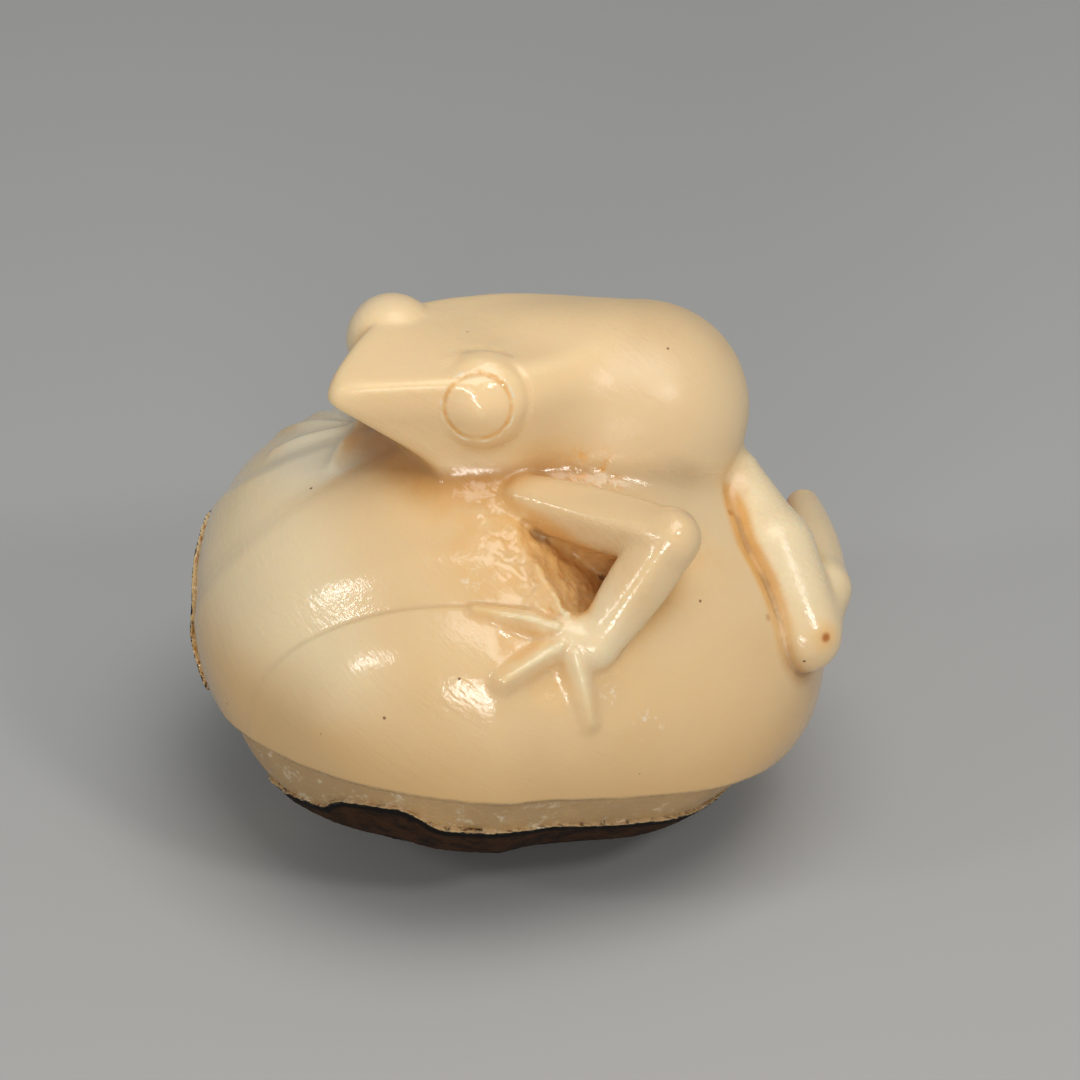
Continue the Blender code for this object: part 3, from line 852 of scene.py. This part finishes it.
def ivory_material(name):
    global TREE, POS
    material = bpy.data.materials.new(name)
    material.use_nodes = True
    TREE = material.node_tree
    shader = TREE.nodes["Principled BSDF"]
    where = TREE.nodes.new("ShaderNodeTexCoord")
    POS = scaled(Vec(where), 1.0)
    TREE.links.new(where.outputs["Object"], POS.node.inputs[0])
    POS = scaled(POS, 1000.0) + FLAT_CENTRE
    x, y, z = parts_of(POS)
    off_nut, off_pocket, off_leg = noted_value("off_nut"), noted_value("off_pocket"), noted_value("off_leg")
    small, large = noted_value("shelter_small"), noted_value("shelter_large")
    on_nut = ramp(off_nut, 0.35, 0.1)

    # the colour of the ivory: cloudy, paler on the left, warmer low down, and warmer in sheltered places as painted
    # shade
    cloud = noise(13.0, 3.0, 0.55)
    colour = mixed(IVORY, IVORY_PALE, ramp(cloud, -0.35, 0.5) * 0.5)
    # darker and warmer towards the bottom of the nut
    warm_low_down = ramp(z + cloud * 4.0, 28.0, 9.0) * ramp(off_nut, 3.0, 0.5)
    colour = mixed(colour, IVORY_WARM, warm_low_down * 0.85)
    colour = mixed(colour, IVORY_PALE, ramp(x + y * 0.3 + cloud * 3.0, -12.0, -19.0) * ramp(z, 17.0, 24.0) * on_nut * 0.8)
    colour = mixed(colour, IVORY_PALE, ramp(off_leg, 0.4, 0.0) * ramp(z, 19.0, 25.0) * 0.9)
    colour = mixed(colour, IVORY_WHITE, near_point(FAR_PALM, 9.5, 5.0) * ramp(side(FOLD_CHIN), 0.0, 0.6) * ramp(off_nut, 1.5, 0.8) * 0.8)
    colour = mixed(colour, IVORY_WHITE, near_point(tuple(EYE_FAR_PLACE), 4.6, 3.0) * 0.6)
    colour = mixed(colour, IVORY_PALE, near_point(PALM, 6.5, 3.0) * ramp(off_nut, 0.15, 0.7) * 0.7)

    # painted light: the top of the head is painted paler, as if lit from above
    colour = mixed(colour, IVORY_LIT, ramp(noted_value("off_head"), 2.5, 0.2) * ramp(z, 37.3, 39.6) * 0.85)
    # the lower left of the nut's front is painted darker: partly dirt, partly painted shade
    colour = mixed(colour, IVORY_DIRT_AND_SHADE, ramp(x + cloud * 3.0, -3.0, -15.0) * ramp(z + cloud * 3.0, 23.0, 10.0) * on_nut * 0.6)

    # stains, crumbs and dots, with painted shade in the hollows the knife left, under the head and in creases
    # painted shade: warmer ivory and blotchy stain colour in the broad hollows
    colour = mixed(colour, IVORY_WARM, ramp(large, 0.15, 0.8) * 0.6)
    colour = mixed(colour, STAIN_AND_SHADE, ramp(large, 0.5, 1.1) * ramp(noise(3.0, 4.0, 0.6), -0.7, 0.4) * (0.5 - ramp(off_pocket, 1.5, -0.5) * 0.3))
    # painted shade under the head, mixed with a real stain there
    under_head = ramp(noted_value("off_head"), 4.2, 0.4) * ramp(off_nut, 2.0, 0.6)
    colour = mixed(colour, STAIN_AND_SHADE, under_head * ramp(noise(3.0, 4.0, 0.6), -1.1, 0.2) * 0.9)
    near_pocket = ramp(off_pocket, 6.5, 0.5) * ramp(off_nut, 1.2, 0.3)
    colour = mixed(colour, ORANGE, near_pocket * ramp(noise(2.2, 4.0, 0.65), -0.5, 0.4) * 0.6)
    inside = ramp(off_pocket, 0.6, -1.2)
    colour = mixed(colour, STAIN_AND_SHADE, inside * ramp(noise(1.5, 4.0, 0.6), -0.3, 0.5) * 0.15)
    crumbs = near_point(CRUMBS, 3.2, 1.2) * ramp(noise(0.5, 3.0, 0.7), 0.0, 0.25)
    colour = mixed(colour, ORANGE, crumbs * 0.9)
    # orange and brown stain along the crease between legs and nut, with painted shade darkest along its middle
    crease = ramp(high(size_of(off_leg), size_of(off_nut)), 1.5, 0.1)
    colour = mixed(colour, ORANGE, ramp(crease, 0.0, 0.6) * ramp(z, 19.0, 25.0) * 0.75)
    colour = mixed(colour, STAIN_AND_SHADE, crease * ramp(noise(2.0, 3.0, 0.6), -0.7, 0.3) * 0.5)
    colour = mixed(colour, ORANGE, near_point(LEG_DOTS[0], 1.8, 0.3) * 0.5)
    colour = mixed(colour, BROWN, ramp(crease, 0.8, 1.0) * ramp(noise(1.2, 3.0, 0.6), -0.3, 0.4) * 0.45)
    for dot in LEG_DOTS:
        colour = mixed(colour, DOT, near_point(dot, 0.55, 0.15) * 0.9)
    # painted shade: brown in narrow crevices
    colour = mixed(colour, BROWN, ramp(small, 0.45, 0.95) * 0.4)

    # the iris, with a pale rim outside
    e = local(POS, EYE_NEAR, (EYE_NEAR_TURN, 0.0, 0.0)) - IRIS_MIDDLE
    ex, ey, ez = parts_of(e)
    from_gaze = root(ex * ex + ey * ey)
    facing = ramp(ez, 0.2, 0.8) * ramp(off_nut, 0.5, 2.0)
    broken = ramp(noise(0.8, 3.0, 0.6), -0.45, 0.15)
    colour = mixed(colour, ORANGE, line_at(from_gaze - IRIS_RADIUS, IRIS_WIDTH * 2.2) * facing * broken * 0.75)
    colour = mixed(colour, IVORY_WHITE, line_at(from_gaze - IRIS_RADIUS - 0.27, IRIS_WIDTH * 1.2) * facing * ramp(noise(0.6, 3.0, 0.6), -0.1, 0.3) * 0.9)

    # the strip above the skin, partly painted shade, the painted shadow under the rim, knife marks and pinholes
    strip = ramp(-side(RIM_EDGE), 0.1, 0.4) * on_nut
    # brown on the downward-facing strip: partly dirt, partly painted shade
    colour = mixed(colour, STRIP_COLOUR, strip * ramp(noise(5.0, 4.0, 0.6), -0.8, 0.3) * 0.75)
    colour = mixed(colour, FRESH_CUT, strip * ramp(noise(0.7, 4.0, 0.7), 0.08, 0.35) * 0.5)
    # painted shadow and dirt just under the rim's ledge
    colour = mixed(colour, DIRT_AND_SHADOW, ramp(side(RIM_EDGE), 0.25, 0.0) * ramp(side(RIM_EDGE), -0.9, -0.3) * on_nut * ramp(noise(1.5, 4.0, 0.6), -0.6, 0.2) * 0.5)
    for chip in CHIPS:
        colour = mixed(colour, FRESH_CUT, near_point(chip, 1.6, 0.4) * ramp(noise(0.5, 3.0, 0.7), 0.05, 0.3) * 0.8)
    hand = near_point(PALM, 8.0, 4.0) * on_nut
    colour = mixed(colour, FRESH_CUT, hand * ramp(noise(0.55, 4.0, 0.7), 0.15, 0.4) * 0.35)
    colour = mixed(colour, BROWN, spots(3.0, 0.16) * 0.9)

    # the nut's own skin
    edge = husk_side()
    husk = ramp(edge, -0.03, 0.03) * ramp(off_nut, 0.5, 0.3)
    skin = mixed(SKIN_BROWN, SKIN_BLACK, high(ramp(edge, 0.7, 0.4), ramp(noise(0.9, 5.0, 0.75), -0.2, 0.3) * 0.9))
    colour = mixed(colour, skin, husk)
    TREE.links.new(colour.out, shader.inputs["Base Color"])

    frog = ramp(off_nut, 0.5, 2.5) * ramp(noted_value("off_arm"), 0.0, 0.4) * ramp(off_leg, 0.0, 0.4)
    eye = near_point(EYE_NEAR, 4.2, 3.0)
    rough = noise(1.2, 4.0, 0.6) * 0.07 + noise(0.25, 2.0, 0.5) * 0.05 + 0.14 + frog * (1.0 - eye) * 0.20
    rough = rough + inside * 0.3 + strip * 0.25 + husk * 0.45 + ramp(crease, 0.5, 0.9) * 0.35 + ramp(off_leg, 0.4, 0.0) * ramp(z, 21.5, 24.0) * 0.14 + hand * ramp(noise(0.7, 3.0, 0.6), 0.0, 0.4) * 0.2
    TREE.links.new(rough.out, shader.inputs["Roughness"])
    TREE.links.new(((1.0 - husk) * 0.35).out, shader.inputs["Subsurface Weight"])
    shader.inputs["Subsurface Radius"].default_value = (1.0, 0.55, 0.25)
    shader.inputs["Subsurface Scale"].default_value = 0.0025
    shader.inputs["IOR"].default_value = 1.53

    bump = TREE.nodes.new("ShaderNodeBump")
    bump.inputs["Strength"].default_value = 1.0
    bump.inputs["Distance"].default_value = 0.00001
    streaks = noise(0.9, 3.0, 0.6, p=local(POS, (0.0, 0.0, 0.0), (0.0, 35.0, 0.0)) * (0.25, 1.0, 3.0))
    grain = noise(0.18, 3.0, 0.6) + noise(0.75, 3.0, 0.6) * 1.5 + streaks * 2.0 + (strip + inside) * noise(0.12, 3.0, 0.7) * 5.0
    TREE.links.new(grain.out, bump.inputs["Height"])
    TREE.links.new(bump.outputs[0], shader.inputs["Normal"])
    return material


# camera, floor and light: places in metres, from the middle of the flat spot
VIEW_DOWN = math.radians(32.0)
PIXELS_PER_MM = 13.28
AIM = Vector(((540 - 505) / PIXELS_PER_MM, 0.0, (795 - 540) / PIXELS_PER_MM / math.cos(VIEW_DOWN)))
CAMERA_AWAY = 0.32


def placed(data, name, place, aim):
    obj = bpy.data.objects.new(name, data)
    bpy.context.scene.collection.objects.link(obj)
    obj.location = place
    obj.rotation_mode = "QUATERNION"
    obj.rotation_quaternion = (Vector(aim) - Vector(place)).to_track_quat("-Z", "Y")
    return obj


def add_camera():
    aim = (AIM - Vector(FLAT_CENTRE)) * 0.001
    data = bpy.data.cameras.new("camera")
    data.sensor_width = 36.0
    data.lens = 18.0 / (540 / PIXELS_PER_MM * 0.001 / CAMERA_AWAY)
    data.clip_start = 0.01
    place = aim + Vector((0.0, -math.cos(VIEW_DOWN), math.sin(VIEW_DOWN))) * CAMERA_AWAY
    bpy.context.scene.camera = placed(data, "camera", place, aim)


def add_light(name, azimuth, elevation, away, size, power, roll=0.0, colour=(1.0, 0.99, 0.97)):
    """Azimuth 0 is on the camera's side, and it grows to the right. Roll turns the panel, in degrees."""
    a, e = math.radians(azimuth), math.radians(elevation)
    aim = Vector((0.0, 0.0, 0.02))
    data = bpy.data.lights.new(name, "AREA")
    data.shape = "RECTANGLE"
    data.size, data.size_y = size
    data.energy = power
    data.color = colour
    place = aim + Vector((math.sin(a) * math.cos(e), -math.cos(a) * math.cos(e), math.sin(e))) * away
    light = placed(data, name, place, aim)
    light.rotation_quaternion = light.rotation_quaternion @ Quaternion((0.0, 0.0, 1.0), math.radians(roll))


def add_floor():
    half_side = 1.5
    mesh = bpy.data.meshes.new("floor")
    corners = [(-half_side, -half_side, 0.0), (half_side, -half_side, 0.0), (half_side, half_side, 0.0), (-half_side, half_side, 0.0)]
    mesh.from_pydata(corners, [], [(0, 1, 2, 3)])
    floor = bpy.data.objects.new("floor", mesh)
    bpy.context.scene.collection.objects.link(floor)
    floor.location.z = -0.00002
    material = bpy.data.materials.new("floor")
    material.use_nodes = True
    shader = material.node_tree.nodes["Principled BSDF"]
    shader.inputs["Base Color"].default_value = (0.44, 0.44, 0.43, 1.0)
    shader.inputs["Roughness"].default_value = 0.7
    mesh.materials.append(material)


def add_world():
    world = bpy.data.worlds.new("studio")
    bpy.context.scene.world = world
    world.use_nodes = True
    back = world.node_tree.nodes["Background"]
    back.inputs[0].default_value = (0.95, 0.97, 1.0, 1.0)
    back.inputs[1].default_value = 0.22


add_camera()
carving = carved()
carving.data.materials.clear()
carving.data.materials.append(ivory_material("tagua"))
skin = ivory_material("nut_skin")
shader = skin.node_tree.nodes["Principled BSDF"]
for socket, value in (("Specular IOR Level", 0.12), ("Roughness", 0.75), ("Subsurface Weight", 0.0)):
    for link in list(shader.inputs[socket].links):
        skin.node_tree.links.remove(link)
    shader.inputs[socket].default_value = value
carving.data.materials.append(skin)
side_of = [v.value for v in carving.data.attributes["skin_side"].data]
off = [v.value for v in carving.data.attributes["off_nut"].data]
for face in carving.data.polygons:
    skinned = min(side_of[v] for v in face.vertices) > -0.02 and max(off[v] for v in face.vertices) < 0.4
    face.material_index = 1 if skinned else 0
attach(carving, "root")
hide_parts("carving")
add_floor()
add_world()
add_light("left", -65.0, 32.0, 0.40, (0.055, 0.055), 0.15)
add_light("front", -5.0, 12.0, 0.42, (0.16, 0.045), 0.54, roll=-35.0)
add_light("right", 45.0, 42.0, 0.45, (0.06, 0.06), 0.30)
add_light("above", 40.0, 75.0, 0.50, (0.35, 0.35), 1.3)
bpy.context.scene.view_settings.view_transform = "Standard"
